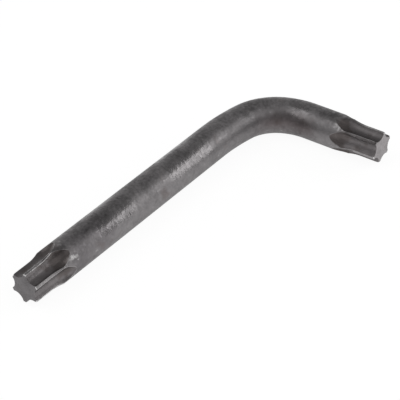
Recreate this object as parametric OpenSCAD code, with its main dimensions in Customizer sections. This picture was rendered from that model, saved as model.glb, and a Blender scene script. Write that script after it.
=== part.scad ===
// Six-lobe L-key: a round bar with a star pressed into each end and one right-angle bend.
// The key lies flat, with its long arm along X and its short arm along -Y.
// The origin is on the surface it lies on, in the middle of its footprint.

/* [Bar] */
// Diameter of the round bar
bar_d = 10; // [9:0.5:12]

/* [Arms] */
// Long side, from its star end to the far side of the short arm
long_reach = 106; // [80:1:160]
// Short side, from its star end to the far side of the long arm
short_reach = 44; // [42:1:80]

/* [Bend] */
// Centreline radius of the tight middle of the bend
bend_r = 13; // [10:0.5:16]
// Centreline radius where the bend eases out of the long arm
ease_long_r = 62; // [40:1:80]
// Angle turned by the easing at the long arm, in degrees
ease_long_angle = 12; // [6:1:16]
// Centreline radius where the bend eases into the short arm
ease_short_r = 18; // [14:0.5:20]
// Angle turned by the easing at the short arm, in degrees
ease_short_angle = 23; // [10:1:30]

/* [Star] */
// Width of the star across its points
star_d = 8.8; // [8.4:0.05:8.95]
// Width of the star across the floors of opposite flutes
star_root_d = 6.25; // [5.9:0.05:6.6]
// Radius of the flutes between the points
flute_r = 2.45; // [2.2:0.05:2.7]
// Length of the flutes before their floors rise
flute_len = 7.2; // [5:0.2:9]
// Radius on which the floors rise to the surface of the bar
run_out_r = 13; // [10:0.5:16]
// Length of the parallel points before they flare to the bar
point_len = 6; // [4:0.2:8]
// Radius of the flare from the points to the bar
flare_r = 11; // [7:0.5:15]
// Drop of the crowns between the flutes below the surface of the bar
crown_drop = 0.05; // [0.02:0.01:0.2]
// Length of the lead-in at each end face
lead_in_len = 0.8; // [0.4:0.1:1.5]
// Depth of the lead-in at each end face
lead_in_depth = 0.15; // [0.05:0.05:0.4]
// Plain round length between the ends of the flutes and the arm
collar_len = 1.5; // [0.5:0.25:2.5]
// Angle of the long arm's star, in degrees from one point straight up
long_star_angle = 4.5; // [0:0.5:30]
// Angle of the short arm's star, in degrees from one point straight up
short_star_angle = 13; // [0:0.5:30]

/* [Hidden] */
$fn = 96;
blackened_steel = [0.27, 0.27, 0.27];
key_angle = 90;
lobes = 6;
lobe_step = 360 / lobes;
// Run of a flute's cutter past the end face, and the angle of its arc, which passes the bar's surface
overcut = 1;
run_out_angle = 60;

bar_r = bar_d / 2;
star_r = star_d / 2;
root_r = star_root_d / 2;

// Arcs of the bend, from the long arm to the short arm, as radius and angle
bend_arcs = [
    [ease_long_r, ease_long_angle],
    [bend_r, key_angle - ease_long_angle - ease_short_angle],
    [ease_short_r, ease_short_angle],
];

// Heading at the start of arc k, turned from +X towards -Y
function heading(k) = k == 0 ? 0 : heading(k - 1) + bend_arcs[k - 1][1];

// Start of arc k on the centreline, measured from the start of the bend
function arc_start(k) = k == 0 ? [0, 0] : arc_start(k - 1) + bend_arcs[k - 1][0] * [
    sin(heading(k)) - sin(heading(k - 1)),
    cos(heading(k)) - cos(heading(k - 1)),
];

bend_span = arc_start(len(bend_arcs));

// Ends of the centreline and of the bend
long_end = [-long_reach / 2, short_reach / 2 - bar_r, bar_r];
short_end = [long_reach / 2 - bar_r, -short_reach / 2, bar_r];
bend_start = [short_end.x - bend_span.x, long_end.y, bar_r];
bend_end_y = long_end.y + bend_span.y;

// Lengths along a star tip: the rise of the flutes, and the whole tip from end face to arm
run_out_len = sqrt(run_out_r ^ 2 - (run_out_r - (bar_r - root_r)) ^ 2);
tip_len = flute_len + run_out_len + collar_len;

// Round arms between the tips and the bend
long_arm_len = bend_start.x - long_end.x - tip_len;
short_arm_len = bend_end_y - short_end.y - tip_len;

// Frame at the long end: Z runs into the bar, X points down
module at_long_end() {
    translate(long_end) rotate([0, 90, 0]) children();
}

// Frame at the short end: Z runs into the bar, X points down
module at_short_end() {
    translate(short_end) rotate([-90, 0, 0]) rotate(90) children();
}

// Turned blank of a tip: lead-in, parallel points, flare, and a slight taper up to the arm
module tip_blank() {
    rotate_extrude() difference() {
        polygon([
            [0, 0],
            [star_r - lead_in_depth, 0],
            [star_r, lead_in_len],
            [star_r, point_len],
            [bar_r - crown_drop, point_len],
            [bar_r, tip_len],
            [0, tip_len],
        ]);
        translate([star_r + flare_r, point_len]) circle(flare_r);
    }
}

// One flute: a straight channel whose floor then rises on an arc
module flute() {
    translate([root_r + flute_r, 0, -overcut]) cylinder(r = flute_r, h = flute_len + overcut);
    translate([root_r + run_out_r, 0, flute_len]) rotate([90, 0, 0])
        rotate_extrude(angle = run_out_angle, start = 180 - run_out_angle)
            translate([run_out_r - flute_r, 0]) circle(flute_r);
}

// A star tip, with one of its points along X before it is turned
module star_tip(angle) {
    rotate(angle) difference() {
        tip_blank();
        for (k = [0 : lobes - 1]) rotate((k + 0.5) * lobe_step) flute();
    }
}

// Arc k of the bend; each arc starts on the end face of the one before it, without a corner
module bend_arc(k) {
    radius = bend_arcs[k][0];
    angle = bend_arcs[k][1];
    translate(bend_start) translate(arc_start(k)) rotate(-heading(k)) translate([0, -radius])
        rotate_extrude(angle = angle, start = 90 - angle) translate([radius, 0]) circle(d = bar_d);
}

module long_star_tip() {
    color(blackened_steel) at_long_end() star_tip(long_star_angle);
}

module short_star_tip() {
    color(blackened_steel) at_short_end() star_tip(short_star_angle);
}

module long_arm() {
    color(blackened_steel) at_long_end()
        translate([0, 0, tip_len]) cylinder(d = bar_d, h = long_arm_len);
}

module short_arm() {
    color(blackened_steel) at_short_end()
        translate([0, 0, tip_len]) cylinder(d = bar_d, h = short_arm_len);
}

module bend_lead_in() {
    color(blackened_steel) bend_arc(0);
}

module bend() {
    color(blackened_steel) bend_arc(1);
}

module bend_lead_out() {
    color(blackened_steel) bend_arc(2);
}

long_star_tip();
long_arm();
bend_lead_in();
bend();
bend_lead_out();
short_arm();
short_star_tip();
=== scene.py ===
import math

import bmesh
import bpy
from mathutils import Matrix, Quaternion, Vector


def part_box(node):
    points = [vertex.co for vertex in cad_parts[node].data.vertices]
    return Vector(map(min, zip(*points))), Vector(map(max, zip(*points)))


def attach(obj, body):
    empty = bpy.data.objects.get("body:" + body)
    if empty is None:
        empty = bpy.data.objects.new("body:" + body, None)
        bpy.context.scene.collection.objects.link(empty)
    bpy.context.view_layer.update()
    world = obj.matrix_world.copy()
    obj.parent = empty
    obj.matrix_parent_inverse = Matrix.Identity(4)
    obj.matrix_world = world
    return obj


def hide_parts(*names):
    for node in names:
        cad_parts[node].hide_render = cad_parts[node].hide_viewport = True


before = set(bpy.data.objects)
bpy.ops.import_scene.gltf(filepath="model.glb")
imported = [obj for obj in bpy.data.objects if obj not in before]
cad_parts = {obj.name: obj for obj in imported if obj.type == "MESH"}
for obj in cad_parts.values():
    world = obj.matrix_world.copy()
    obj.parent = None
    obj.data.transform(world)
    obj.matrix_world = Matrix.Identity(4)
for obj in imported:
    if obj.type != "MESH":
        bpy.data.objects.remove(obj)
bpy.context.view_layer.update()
print("frame loaded:", len(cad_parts), "nodes")

mm = 0.001
up = Vector((0, 0, 1))

# the bar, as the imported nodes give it: centrelines of both arms and the end faces
longLow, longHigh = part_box("long_arm")
shortLow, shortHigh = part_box("short_arm")
barRadius = (longHigh.z - longLow.z) / 2
longAxis = Vector((0, (longLow.y + longHigh.y) / 2, (longLow.z + longHigh.z) / 2))
shortAxisX = (shortLow.x + shortHigh.x) / 2
longEnd = Vector((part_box("long_star_tip")[0].x, longAxis.y, longAxis.z))
shortEnd = Vector((shortAxisX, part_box("short_star_tip")[0].y, longAxis.z))
tipLength = longLow.x - longEnd.x


# one socket of a node tree, so that shader maths reads as plain expressions
class Wire:
    def __init__(self, tree, socket=None):
        self.tree = tree
        self.socket = socket

    def node(self, kind, settings=None, sockets=None, out=0):
        made = self.tree.nodes.new(kind)
        for name, value in (settings or {}).items():
            setattr(made, name, value)
        for name, value in (sockets or {}).items():
            if isinstance(value, Wire):
                self.tree.links.new(value.socket, made.inputs[name])
            else:
                made.inputs[name].default_value = value
        return Wire(self.tree, made.outputs[out] if made.outputs else None)

    def sums(self, operation, *values):
        return self.node("ShaderNodeMath", {"operation": operation}, dict(enumerate(values)))

    def __add__(self, other):
        return self.sums("ADD", self, other)

    def __radd__(self, other):
        return self.sums("ADD", other, self)

    def __sub__(self, other):
        return self.sums("SUBTRACT", self, other)

    def __rsub__(self, other):
        return self.sums("SUBTRACT", other, self)

    def __mul__(self, other):
        return self.sums("MULTIPLY", self, other)

    def __rmul__(self, other):
        return self.sums("MULTIPLY", other, self)


def newMaterial(name):
    material = bpy.data.materials.new(name)
    material.use_nodes = True
    material.node_tree.nodes.clear()
    return material, Wire(material.node_tree)


# the finish: satin black oxide, blotched over a few millimetres, with a grain that sparkles
relief = {
    # scale, detail and roughness of each noise, and what it does
    "wave": (75, 2, 0.5), "waveHeight": 0.36 * mm,
    "blotch": (150, 2, 0.5), "blotchDepth": 0.44,
    "cloud": (480, 3, 0.6), "cloudDepth": 0.28, "cloudHeight": 0.125 * mm, "cloudGloss": 0.25,
    "grain": (1200, 2, 0.5), "grainDepth": 0.32, "grainHeight": 0.055 * mm, "grainGloss": 0.12,
    "patchDetail": (3, 0.5), "patchBorder": 0.14,
    "topHeight": (8.7 * mm, 9.8 * mm), "topMottle": 2.2,  # the upper side is mottled more
    # the bar is smoother in these places, each with its radius, and rougher between them
    "smoothPlaces": (
        ((-21.5 * mm, 14 * mm, 8 * mm), 7.6 * mm), ((9.5 * mm, 14 * mm, 8 * mm), 9.6 * mm),
        ((35.5 * mm, 13.6 * mm, 9.1 * mm), 2.4 * mm), ((44.8 * mm, 2.2 * mm, 8.9 * mm), 3.4 * mm),
    ),
    "smoothing": 0.19, "smoothHeight": (6.2 * mm, 7.4 * mm), "smoothBorder": 1.5 * mm,
    "smoothWander": (10 * mm, 6 * mm),  # how far blotches and clouds move the border
    # rubbed spots: shares of the wear, the clouds and the grain, and the sum at which steel shows
    "wearShares": (0.72, 1.6, 1.2), "wearRange": (0.34, 0.90), "wornColour": (0.44, 0.43, 0.43),
    "edgeTint": 0.8,
    # the oxide is browner along the inside of the bend, and darker there as painted shade of the inner
    # corner, in a ring about this place
    "stainAndShadePlace": (36 * mm, 2.5 * mm), "stainAndShadeRadius": 7.6 * mm, "stainAndShadeHeight": 5.8 * mm,
    "stainAndShadeReach": (4.6 * mm, 0.2 * mm), "stainAndShadeWander": 2 * mm, "stainAndShade": (0.54, 0.49, 0.49),
    "stainAndShadeMiddle": (43 * mm, 4.5 * mm, 5.8 * mm), "stainAndShadeLength": (12.5 * mm, 4 * mm),
    # and darker behind the long star, with a spot of painted shade in the notch on its upper crown:
    # place, reach and shade
    "darkPlacesAndNotchShade": (
        ((-36 * mm, 12.7 * mm, 7.5 * mm), (7 * mm, 1.5 * mm), (0.82, 0.81, 0.82)),
        ((-28 * mm, 12.7 * mm, 7.5 * mm), (7 * mm, 1.5 * mm), (0.84, 0.83, 0.84)),
        ((-41.5 * mm, 15.6 * mm, 9.8 * mm), (3.2 * mm, 1 * mm), (0.58, 0.57, 0.57)),
    ),
}
# each with the colour and scale of its patches, and the noise level at which a patch starts
finishes = {
    "blackenedSteel": {
        "colour": (0.206, 0.197, 0.200), "patch": (0.160, 0.146, 0.145), "scale": 150, "start": 0.08,
        "roughness": 0.46,
    },
    "longFlute": {
        "colour": (0.168, 0.157, 0.159), "patch": (0.110, 0.098, 0.096), "scale": 150, "start": 0.04,
        "roughness": 0.36, "stretch": (0.06, 1, 1), "endDarkening": 0.20,
    },
    "shortFlute": {
        "colour": (0.155, 0.144, 0.146), "patch": (0.112, 0.099, 0.097), "scale": 150, "start": 0.04,
        "roughness": 0.48, "stretch": (1, 0.06, 1), "endDarkening": 0.14,
    },
    # painted shade on every second land of the short star
    "shadedLand": {
        "colour": (0.100, 0.092, 0.093), "patch": (0.078, 0.070, 0.070), "scale": 300, "start": 0.02,
        "roughness": 0.42,
    },
    # one ground finish on both end faces, as painted shade on the long star and painted light on the
    # short star
    "shadedLongFace": {
        "colour": (0.150, 0.143, 0.146), "patch": (0.125, 0.118, 0.121), "scale": 300, "start": 0.04,
        "roughness": 0.42,
    },
    "litShortFace": {
        "colour": (0.300, 0.285, 0.289), "patch": (0.240, 0.227, 0.230), "scale": 300, "start": 0.04,
        "roughness": 0.42,
    },
    "wornLand": {
        "colour": (0.275, 0.264, 0.267), "patch": (0.206, 0.197, 0.200), "scale": 300, "start": 0.06,
        "roughness": 0.34,
    },
    # partly wear and partly painted highlight on every second point of the long star
    "rubbedAndLitLand": {
        "colour": (0.330, 0.318, 0.320), "patch": (0.262, 0.251, 0.254), "scale": 300, "start": 0.06,
        "roughness": 0.34, "rough": 0.5,
    },
    "flaredLand": {
        "colour": (0.150, 0.140, 0.142), "patch": (0.125, 0.112, 0.111), "scale": 300, "start": 0.02,
        "roughness": 0.40,
    },
    "rubbedEdge": {
        "colour": (0.580, 0.570, 0.570), "patch": (0.260, 0.250, 0.252), "scale": 380, "start": 0,
        "roughness": 0.30, "rough": 0.3,
    },
    "softEdge": {
        "colour": (0.300, 0.290, 0.292), "patch": (0.206, 0.197, 0.200), "scale": 380, "start": -0.05,
        "roughness": 0.34, "rough": 0.3,
    },
}


def noise(wire, spot, scale, detail, roughness):
    # noise about zero
    return wire.node("ShaderNodeTexNoise", {}, {
        "Vector": spot, "Scale": scale, "Detail": detail, "Roughness": roughness,
    }) - 0.5


def rise(wire, value, low, high):
    return wire.node("ShaderNodeMapRange", {"interpolation_type": "SMOOTHSTEP"}, {
        "Value": value, "From Min": low, "From Max": high,
    })


def distance(wire, spot, place):
    return wire.node("ShaderNodeVectorMath", {"operation": "DISTANCE"}, {0: spot, 1: place}, "Value")


def blend(wire, share, first, second, how="MIX"):
    return wire.node("ShaderNodeMix", {"data_type": "RGBA", "blend_type": how}, {
        "Factor": share, 6: first, 7: second,
    }, out=2)


def attribute(wire, name):
    return wire.node("ShaderNodeAttribute", {"attribute_name": name}, out="Fac")


# a brown tint with painted shade of the inner corner along the inside of the bend
def bendStainAndShade(wire, spot, above, wander):
    east, north = relief["stainAndShadePlace"]
    flat = wire.node("ShaderNodeVectorMath", {"operation": "MULTIPLY_ADD"}, {
        0: spot, 1: (1, 1, 0), 2: (-east, -north, 0),
    })
    inside = wire.node("ShaderNodeVectorMath", {"operation": "LENGTH"}, {0: flat}, "Value")
    aside = inside - relief["stainAndShadeRadius"]
    over = above - relief["stainAndShadeHeight"]
    away = wire.sums("SQRT", aside * aside + over * over) + wander
    along = distance(wire, spot, relief["stainAndShadeMiddle"])
    return rise(wire, away, *relief["stainAndShadeReach"]) * rise(wire, along, *relief["stainAndShadeLength"])


def smoothShare(wire, spot, above, wander):
    border = relief["smoothBorder"]
    shares = [
        rise(wire, distance(wire, spot, place) + wander, radius + border, radius - border)
        for place, radius in relief["smoothPlaces"]
    ]
    smoothest = shares[0]
    for share in shares[1:]:
        smoothest = wire.sums("MAXIMUM", smoothest, share)
    return smoothest * rise(wire, above, *relief["smoothHeight"])


def steelFinish(name, colour, patch, scale, start, roughness, stretch=(1, 1, 1), endDarkening=0, rough=1):
    material, wire = newMaterial(name)
    spot = wire.node("ShaderNodeTexCoord", out="Object")
    above = wire.node("ShaderNodeSeparateXYZ", {}, {0: spot}, "Z")
    drawn = wire.node("ShaderNodeVectorMath", {"operation": "MULTIPLY"}, {0: spot, 1: stretch})
    wave, blotch, cloud = (noise(wire, spot, *relief[kind]) for kind in ("wave", "blotch", "cloud"))
    grain = noise(wire, drawn, *relief["grain"])

    # patches, then the mottle, the brown tint with painted shade inside the bend, and the darker places
    # with painted shade in the crown notch
    patchy = noise(wire, spot, scale, *relief["patchDetail"]) + endDarkening * attribute(wire, "runOut")
    patches = rise(wire, patchy, start, start + relief["patchBorder"])
    steel = blend(wire, patches, (*colour, 1), (*patch, 1))
    mottle = relief["blotchDepth"] * blotch + relief["cloudDepth"] * cloud
    mottle = mottle + relief["grainDepth"] * grain
    level = 1 + (1 + relief["topMottle"] * rise(wire, above, *relief["topHeight"])) * mottle
    grey = wire.node("ShaderNodeCombineColor", {}, {"Red": level, "Green": level, "Blue": level})
    steel = blend(wire, 1, steel, grey, "MULTIPLY")
    # the brown tint and painted shade along the inside of the bend
    stainAndShade = bendStainAndShade(wire, spot, above, relief["stainAndShadeWander"] * (blotch + cloud))
    steel = blend(wire, stainAndShade, steel, (*relief["stainAndShade"], 1), "MULTIPLY")
    # darker places behind the long star, and painted shade in the notch of its upper crown
    for place, reach, shade in relief["darkPlacesAndNotchShade"]:
        gap = distance(wire, spot, place) + reach[0] * blotch
        steel = blend(wire, rise(wire, gap, *reach), steel, (*shade, 1), "MULTIPLY")

    # bare steel in the rubbed spots
    wearShare, cloudShare, grainShare = relief["wearShares"]
    wear = wearShare * attribute(wire, "wear") + cloudShare * cloud + grainShare * grain
    worn = rise(wire, wear, *relief["wearRange"])

    blotchWander, cloudWander = relief["smoothWander"]
    smooth = smoothShare(wire, spot, above, blotchWander * blotch + cloudWander * cloud)
    uneven = relief["cloudGloss"] * cloud + relief["grainGloss"] * grain
    height = relief["waveHeight"] * wave + relief["cloudHeight"] * cloud + relief["grainHeight"] * grain
    shader = wire.node("ShaderNodeBsdfPrincipled", {}, {
        "Base Color": blend(wire, worn, steel, (*relief["wornColour"], 1)),
        "Metallic": 1,
        "Specular Tint": (relief["edgeTint"],) * 3 + (1,),
        "Roughness": roughness - relief["smoothing"] * smooth - uneven,
        "Normal": wire.node("ShaderNodeBump", {}, {"Strength": 1, "Distance": rough, "Height": height}),
    })
    wire.node("ShaderNodeOutputMaterial", {}, {"Surface": shader})
    return material


coats = {name: steelFinish(name, **made) for name, made in finishes.items()}
print("finishes made:", len(coats))


def selectOnly(piece):
    bpy.ops.object.select_all(action="DESELECT")
    piece.select_set(True)
    bpy.context.view_layer.objects.active = piece


def editAll(piece):
    selectOnly(piece)
    bpy.ops.object.mode_set(mode="EDIT")
    bpy.ops.mesh.select_all(action="SELECT")


def startRing(name, spot, heading, radius, sides):
    # a ring across the bar, which runs along the heading
    facing = (0, math.radians(90), -math.radians(heading))
    bpy.ops.object.select_all(action="DESELECT")
    bpy.ops.mesh.primitive_circle_add(vertices=sides, radius=radius, location=spot, rotation=facing)
    piece = bpy.context.object
    piece.name = piece.data.name = name
    bpy.ops.object.transform_apply(location=True, rotation=True, scale=True)
    editAll(piece)
    return piece


def pullRing(step):
    bpy.ops.mesh.extrude_region_move(TRANSFORM_OT_translate={"value": step})


def outwardNormals():
    bpy.ops.mesh.select_all(action="SELECT")
    bpy.ops.mesh.normals_make_consistent(inside=False)
    bpy.ops.object.mode_set(mode="OBJECT")


def closeMesh():
    bpy.ops.mesh.select_all(action="SELECT")
    bpy.ops.mesh.fill_holes(sides=0)
    outwardNormals()


def smoothShade(piece, angle):
    selectOnly(piece)
    bpy.ops.object.shade_smooth_by_angle(angle=math.radians(angle))


# the round bar: its arms, and three arcs that follow on without a corner
bar = {
    "sides": 192,
    "longPulls": 12,
    "shortPulls": 4,
    "shadeAngle": 40,
    "bend": {
        "bend_lead_in": {"name": "bendLeadIn", "radius": 62 * mm, "angle": 12, "steps": 10},
        "bend": {"name": "tightBend", "radius": 13 * mm, "angle": 55, "steps": 44},
        "bend_lead_out": {"name": "bendLeadOut", "radius": 18 * mm, "angle": 23, "steps": 18},
    },
}


def finishBar(piece):
    closeMesh()
    smoothShade(piece, bar["shadeAngle"])
    piece.data.materials.append(coats["blackenedSteel"])
    return piece


def straightArm(name, start, heading, length, pulls):
    along = Vector((math.cos(math.radians(heading)), -math.sin(math.radians(heading)), 0))
    piece = startRing(name, start, heading, barRadius, bar["sides"])
    for _ in range(pulls):
        pullRing(along * length / pulls)
    return finishBar(piece)


def bentBar(name, start, heading, radius, angle, steps):
    inward = Vector((-math.sin(math.radians(heading)), -math.cos(math.radians(heading)), 0))
    piece = startRing(name, start, heading, barRadius, bar["sides"])
    bpy.ops.mesh.spin(steps=steps, angle=math.radians(angle), center=start + inward * radius, axis=up)
    return finishBar(piece)


pieces = {}
armStart = longEnd + Vector((tipLength, 0, 0))
pieces["long_arm"] = straightArm("longArm", armStart, 0, longHigh.x - longLow.x, bar["longPulls"])

spot = Vector((longHigh.x, longAxis.y, longAxis.z))
heading = 0
for node, arc in bar["bend"].items():
    pieces[node] = bentBar(start=spot, heading=heading, **arc)
    before, after = math.radians(heading), math.radians(heading + arc["angle"])
    spot = spot + arc["radius"] * Vector(
        (math.sin(after) - math.sin(before), math.cos(after) - math.cos(before), 0)
    )
    heading += arc["angle"]
shortArmLength = shortHigh.y - shortLow.y
pieces["short_arm"] = straightArm("shortArm", spot, heading, shortArmLength, bar["shortPulls"])
offNode = (spot - Vector((shortAxisX, shortHigh.y, longAxis.z))).length
print("bar made, off its node by", offNode / mm, "mm")


# the star end: rings along the tip, each one an outline of six points and six flutes
star = {
    "lobes": 6,
    "longAngle": 4.5,
    "shortAngle": 13,
    "pointRadius": 4.4 * mm,
    "rootRadius": 3.125 * mm,
    "fluteRadius": 2.45 * mm,
    "leadInLength": 0.8 * mm,
    "leadInDepth": 0.15 * mm,
    "leadInBow": 1.7,
    "pointLength": 5.5 * mm,
    "flareRadius": 14 * mm,
    "flareAngle": math.radians(16.5),
    "fluteLength": 7.2 * mm,
    "riseRadius": 11 * mm,
    "riseAngle": math.radians(25),
    "spread": 0.8 * mm,  # the flutes widen where the points reach the bar
    "spreadPlace": 10.3 * mm,
    "spreadLength": 1.8 * mm,
    "edgeBreak": 0.10 * mm,
    "edgeShare": 0.45,  # the most of a land or a flute that its broken edge takes
    "faceBreak": 0.16 * mm,  # rounding at the end face, less of it in the flutes
    "fluteBreak": 0.3,
    # lines across half a lobe, and rings along the tip
    "landSteps": 12,
    "edgeSteps": 5,
    "fluteSteps": 12,
    "faceRings": (0, 0.06, 0.22, 0.5, 1),
    "pointRings": (0.3 * mm, 0.55 * mm, 0.8 * mm, 2.5 * mm, 4.5 * mm),
    "flareRings": 8,
    "crownRings": 3,
    "fluteRings": 24,
    "endRings": (-0.12 * mm, -0.06 * mm, -0.02 * mm, 0, 0.5 * mm, 1 * mm, 1.5 * mm),
    "joinGap": 0.0005 * mm,
    "shadeAngle": 30,
    # where the coats of the points change
    "rimOver": 0.01 * mm,
    "flareOver": 1.2 * mm,
    "crownOver": 0.1 * mm,
    # rubbed spots on the crowns: their middles on the long arm and the short one, and their reach
    "wearPlaces": (13.8 * mm, 11.4 * mm),
    "wearLength": 1.8 * mm,
    "wearTurn": math.radians(7),
    "wearWidth": math.radians(12),
    "wearDepth": 0.36 * mm,
    "wearFade": 0.3 * mm,
    "lesserWear": 0.6,
    # the flutes darken towards their ends
    "endDarkeningPlace": 7.5 * mm,
    "endDarkeningLength": 3.5 * mm,
}
halfLobeSteps = star["landSteps"] + star["edgeSteps"] + star["fluteSteps"]
flareEnd = star["pointLength"] + star["flareRadius"] * math.sin(star["flareAngle"])
flareTop = star["pointRadius"] + star["flareRadius"] * (1 - math.cos(star["flareAngle"]))
crownRadius = (barRadius - flareTop) / (1 - math.cos(star["flareAngle"]))
crownEnd = flareEnd + crownRadius * math.sin(star["flareAngle"])
riseEnd = star["fluteLength"] + star["riseRadius"] * math.sin(star["riseAngle"])
riseTop = star["rootRadius"] + star["riseRadius"] * (1 - math.cos(star["riseAngle"]))
fluteEnd = riseEnd + (barRadius - riseTop) / math.tan(star["riseAngle"])


def arcRise(radius, run):
    return radius - math.sqrt(radius ** 2 - run ** 2)


def pointRadiusAt(place):
    # a rounded lead-in, straight points, a flare, and a tight crown on to the bar
    if place <= star["pointLength"]:
        leadIn = max(1 - place / star["leadInLength"], 0)
        return star["pointRadius"] - star["leadInDepth"] * leadIn ** star["leadInBow"]
    if place <= flareEnd:
        return star["pointRadius"] + arcRise(star["flareRadius"], place - star["pointLength"])
    return barRadius - arcRise(crownRadius, max(crownEnd - place, 0))


def rootRadiusAt(place):
    # a straight floor that rises on an arc and then a ramp
    if place <= star["fluteLength"]:
        return star["rootRadius"]
    if place <= riseEnd:
        return star["rootRadius"] + arcRise(star["riseRadius"], place - star["fluteLength"])
    return riseTop + (place - riseEnd) * math.tan(star["riseAngle"])


def halfLobe(place):
    # from the middle of a point to the middle of a flute, with the edge between them broken
    half = math.pi / star["lobes"]
    outer = pointRadiusAt(place)
    widening = math.exp(-((place - star["spreadPlace"]) / star["spreadLength"]) ** 2)
    fluteRadius = star["fluteRadius"] + star["spread"] * widening
    root = min(rootRadiusAt(place), outer)
    middle = root + fluteRadius
    opening = math.acos(min((outer ** 2 + middle ** 2 - fluteRadius ** 2) / (2 * outer * middle), 1))
    sweep = math.atan2(outer * math.sin(opening), middle - outer * math.cos(opening))
    inward = Vector((math.cos(half), math.sin(half)))
    across = Vector((math.sin(half), -math.cos(half)))
    room = star["edgeShare"] * min(fluteRadius * sweep, outer * (half - opening))
    edge = min(star["edgeBreak"], room)

    def onLand(turn):
        return Vector((math.cos(turn), math.sin(turn))) * outer

    def onFlute(turn):
        return inward * (middle - fluteRadius * math.cos(turn)) + across * fluteRadius * math.sin(turn)

    landEnd = half - opening - edge / outer
    fluteStart = sweep - edge / fluteRadius
    points = [onLand(landEnd * step / star["landSteps"]) for step in range(star["landSteps"] + 1)]
    corner, start, stop = onLand(half - opening), onLand(landEnd), onFlute(fluteStart)
    for step in range(1, star["edgeSteps"]):
        share = step / star["edgeSteps"]
        points.append(start * (1 - share) ** 2 + corner * 2 * share * (1 - share) + stop * share ** 2)
    for step in range(star["fluteSteps"] + 1):
        points.append(onFlute(fluteStart * (1 - step / star["fluteSteps"])))
    return points


def starOutline(place):
    half = halfLobe(place)
    lobe = [Vector((point.x, -point.y)) for point in half[-2:0:-1]] + half
    turns = [Matrix.Rotation(2 * math.pi * turn / star["lobes"], 2) for turn in range(star["lobes"])]
    return [turn @ point for turn in turns for point in lobe]


def between(start, stop, steps):
    return {start + (stop - start) * step / steps for step in range(steps + 1)}


def tipPlaces():
    places = {star["faceBreak"] * share for share in star["faceRings"]}
    places |= {*star["pointRings"], tipLength}
    places |= between(star["pointLength"], flareEnd, star["flareRings"])
    places |= between(flareEnd, crownEnd, star["crownRings"])
    places |= between(star["fluteLength"], fluteEnd, star["fluteRings"])
    places |= {fluteEnd + step for step in star["endRings"]}
    return sorted(places)


def shapeRing(piece, place):
    mesh = bmesh.from_edit_mesh(piece.data)
    ring = [vertex for vertex in mesh.verts if vertex.select]
    shrink = arcRise(star["faceBreak"], max(star["faceBreak"] - place, 0))
    for vertex, point in zip(ring, starOutline(place)):
        height = (point.length - star["rootRadius"]) / (star["pointRadius"] - star["rootRadius"])
        share = star["fluteBreak"] + (1 - star["fluteBreak"]) * min(height, 1)
        point = point - point.normalized() * shrink * share
        vertex.co = longEnd + Vector((place, point.y, point.x))
    bmesh.update_edit_mesh(piece.data)


def starTip(name):
    places = tipPlaces()
    points = len(starOutline(0))
    piece = startRing(name, longEnd, 0, star["pointRadius"], points)
    shapeRing(piece, 0)
    for before, place in zip(places, places[1:]):
        pullRing(Vector((place - before, 0, 0)))
        shapeRing(piece, place)
    closeMesh()
    return piece


# the coats of a tip: on the long arm, then on the short one
tipCoats = {
    "crown": ("blackenedSteel", "blackenedSteel"),
    "land": ("wornLand", "wornLand"),
    "edge": ("rubbedEdge", "wornLand"),
    "flare": ("flaredLand", "flaredLand"),
    # every second point has another coat: on the long star lighter, partly wear and partly painted
    # highlight, on the short star darker, as painted shade
    "otherLand": ("rubbedAndLitLand", "shadedLand"),
    "otherEdge": ("rubbedAndLitLand", "softEdge"),
    "farEdge": ("rubbedAndLitLand", "shadedLand"),
    "otherFlare": ("wornLand", "flaredLand"),
    "crownEdge": ("softEdge", "blackenedSteel"),
    "flute": ("longFlute", "shortFlute"),
    # the end faces: painted shade on the long one, painted light on the short one
    "face": ("shadedLongFace", "litShortFace"),
    "rim": ("rubbedEdge", "rubbedEdge"),
}


def tipPart(corners, place):
    # the part of the star that a face belongs to, by the lines of the outline at its corners
    lobe = 2 * halfLobeSteps
    lines = [corner % lobe - halfLobeSteps + 1 for corner in corners]
    line = min(abs(line) for line in lines)
    second = corners[0] // lobe % 2
    if len(corners) > 4:
        return "face"
    if max(lines) - min(lines) > 1 or line >= star["landSteps"] + star["edgeSteps"]:
        return "flute"
    if place < star["faceBreak"] + star["rimOver"]:
        return "rim"
    if line >= star["landSteps"]:
        if place > crownEnd:
            return "crownEdge"
        if second:
            return "farEdge" if max(lines) > 0 else "otherEdge"
        return "edge"
    if place > crownEnd + star["crownOver"]:
        return "crown"
    if place > star["pointLength"] + star["flareOver"]:
        return "otherFlare" if second else "flare"
    return "otherLand" if second else "land"


def coatTip(piece):
    order = list(tipCoats)
    for names in tipCoats.values():
        piece.data.materials.append(coats[names[0]])
    for face in piece.data.polygons:
        place = max(piece.data.vertices[corner].co.x for corner in face.vertices) - longEnd.x
        face.material_index = order.index(tipPart(list(face.vertices), place))
    # past the ends of the flutes their lines meet
    editAll(piece)
    bpy.ops.mesh.remove_doubles(threshold=star["joinGap"])
    bpy.ops.mesh.dissolve_degenerate(threshold=star["joinGap"])
    outwardNormals()
    smoothShade(piece, star["shadeAngle"])


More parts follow.
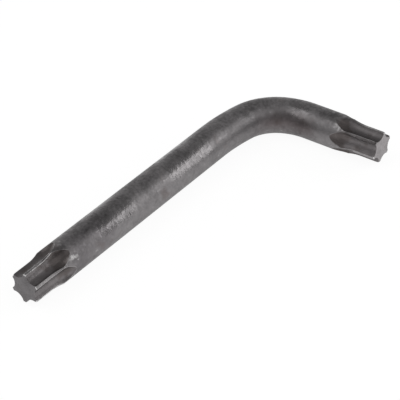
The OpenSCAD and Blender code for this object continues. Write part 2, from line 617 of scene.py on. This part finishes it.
def wearTip(piece, side, middle):
    # rubbed spots where the points run out on to the bar, on one side of each, and flutes that darken
    # towards their ends
    wear = piece.data.attributes.new("wear", "FLOAT", "POINT")
    runOut = piece.data.attributes.new("runOut", "FLOAT", "POINT")
    step = 2 * math.pi / star["lobes"]
    for vertex, spotWear, spotRunOut in zip(piece.data.vertices, wear.data, runOut.data):
        place, east, north = vertex.co - longEnd
        lobe, turn = divmod(math.atan2(east, north) + step / 2, step)
        turn -= step / 2 + side * star["wearTurn"]
        away = ((place - middle) / star["wearLength"]) ** 2 + (turn / star["wearWidth"]) ** 2
        depth = barRadius - math.hypot(east, north)
        shallow = min(max((star["wearDepth"] - depth) / star["wearFade"], 0), 1)
        spotWear.value = math.exp(-away) * shallow * (1 if lobe % 2 else star["lesserWear"])
        spotRunOut.value = min(max(place - star["endDarkeningPlace"], 0) / star["endDarkeningLength"], 1)


def turnPiece(piece, angle, axis, centre):
    editAll(piece)
    bpy.ops.transform.rotate(value=-math.radians(angle), orient_axis=axis, center_override=centre)
    bpy.ops.object.mode_set(mode="OBJECT")


def movePiece(piece, step):
    editAll(piece)
    bpy.ops.transform.translate(value=step)
    bpy.ops.object.mode_set(mode="OBJECT")


def copyPiece(piece, name):
    selectOnly(piece)
    bpy.ops.object.duplicate()
    copied = bpy.context.object
    copied.name = copied.data.name = name
    return copied


tip = starTip("longStarTip")
coatTip(tip)
print("star tip made:", len(tip.data.polygons), "faces")
shortTip = copyPiece(tip, "shortStarTip")
wearTip(tip, 1, star["wearPlaces"][0])
wearTip(shortTip, -1, star["wearPlaces"][1])
for slot, names in enumerate(tipCoats.values()):
    shortTip.data.materials[slot] = coats[names[1]]
turnPiece(tip, star["longAngle"], "X", longEnd)
turnPiece(shortTip, star["shortAngle"], "X", longEnd)
turnPiece(shortTip, 90, "Z", longEnd)
movePiece(shortTip, shortEnd - longEnd)
pieces["long_star_tip"], pieces["short_star_tip"] = tip, shortTip


for node, piece in pieces.items():
    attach(piece, "root")
    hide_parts(node)
print("pieces on the frame:", len(pieces))

# the studio: a pale floor, a sky brightest low at the back, a low lamp and two higher ones
studio = {
    "floorSize": 6,
    "floorShade": 0.9,
    "seen": (0.93, 0.12),  # glow and shade of the floor as the camera sees it
    "mirrored": (0.64, 0.85),  # and as the metal shows it
    "sky": 0.31,
    "skyLow": 0.56,
    "skyBack": math.radians(65),
    "lampAway": 0.7,
    "lamps": {
        "rightLamp": {"azimuth": 328, "height": 19, "width": 0.45, "level": 1.8},
        "leftLamp": {"azimuth": 132, "height": 54, "width": 0.54, "level": 1.0},
        "frontLamp": {"azimuth": 265, "height": 50, "width": 0.60, "level": 0.57},
    },
}


def matte(wire, shade):
    return wire.node("ShaderNodeBsdfDiffuse", {}, {"Color": (shade, shade, shade, 1)})


def glowing(wire, glow, shade):
    light = wire.node("ShaderNodeEmission", {}, {"Color": (1, 1, 1, 1), "Strength": glow})
    return wire.node("ShaderNodeAddShader", {}, {0: light, 1: matte(wire, shade)})


def paleFloor():
    bpy.ops.object.select_all(action="DESELECT")
    bpy.ops.mesh.primitive_plane_add(size=studio["floorSize"])
    floor = bpy.context.object
    floor.name = "floor"
    material, wire = newMaterial("paleFloor")
    straight = wire.node("ShaderNodeLightPath", out="Is Camera Ray")
    glossy = wire.node("ShaderNodeLightPath", out="Is Glossy Ray")
    through = wire.node("ShaderNodeLightPath", out="Is Transmission Ray")
    mirrored = wire.node("ShaderNodeMixShader", {}, {
        0: wire.sums("MAXIMUM", glossy, through),
        1: matte(wire, studio["floorShade"]),
        2: glowing(wire, *studio["mirrored"]),
    })
    both = wire.node("ShaderNodeMixShader", {}, {
        0: straight, 1: mirrored, 2: glowing(wire, *studio["seen"]),
    })
    wire.node("ShaderNodeOutputMaterial", {}, {"Surface": both})
    floor.data.materials.append(material)


def towards(azimuth, height):
    # direction of a place in the studio, its azimuth counted from +X
    turn, climb = math.radians(azimuth), math.radians(height)
    return Vector((
        math.cos(turn) * math.cos(climb), math.sin(turn) * math.cos(climb), math.sin(climb),
    ))


def softLamp(name, azimuth, height, width, level):
    away = towards(azimuth, height)
    bpy.ops.object.light_add(type="AREA", location=away * studio["lampAway"])
    lamp = bpy.context.object
    lamp.name = name
    lamp.data.size = width
    lamp.data.energy = level * math.pi * width ** 2
    lamp.rotation_euler = away.to_track_quat("Z", "Y").to_euler()
    lamp.visible_camera = False


def studioSky():
    world = bpy.data.worlds.new("studio")
    world.use_nodes = True
    world.node_tree.nodes.clear()
    sky = Wire(world.node_tree)
    spot = sky.node("ShaderNodeTexCoord", out="Generated")
    axes = sky.node("ShaderNodeSeparateXYZ", {}, {"Vector": spot}).socket.node
    east, north, high = (Wire(sky.tree, axes.outputs[axis]) for axis in "XYZ")
    back = studio["skyBack"]
    backward = 0.5 + 0.5 * (east * math.cos(back) + north * math.sin(back))
    level = studio["sky"] + studio["skyLow"] * (1 - high) * (1 - high) * backward
    shade = sky.node("ShaderNodeCombineColor", {}, {"Red": level, "Green": level, "Blue": level})
    background = sky.node("ShaderNodeBackground", {}, {"Color": shade, "Strength": 1})
    sky.node("ShaderNodeOutputWorld", {}, {"Surface": background})
    bpy.context.scene.world = world


paleFloor()
for name, lamp in studio["lamps"].items():
    softLamp(name, **lamp)
studioSky()
print("studio lit:", len(studio["lamps"]), "lamps")

# the camera stands where the photograph was taken from
view = {
    "aim": (0.614 * mm, 3.889 * mm, 5 * mm),
    "away": 430.62 * mm,
    "azimuth": -143.396,
    "height": 35.636,
    "roll": -1.028,
    "lens": 150.75,
    "sensor": 36,
    "nearest": 0.01,
}
back = towards(view["azimuth"], view["height"])
bpy.ops.object.camera_add(location=Vector(view["aim"]) + back * view["away"])
camera = bpy.context.object
camera.data.lens = view["lens"]
camera.data.sensor_width = view["sensor"]
camera.data.clip_start = view["nearest"]
camera.rotation_mode = "QUATERNION"
roll = Quaternion((0, 0, 1), math.radians(view["roll"]))
camera.rotation_quaternion = back.to_track_quat("Z", "Y") @ roll
bpy.context.scene.camera = camera
bpy.context.scene.view_settings.view_transform = "Standard"
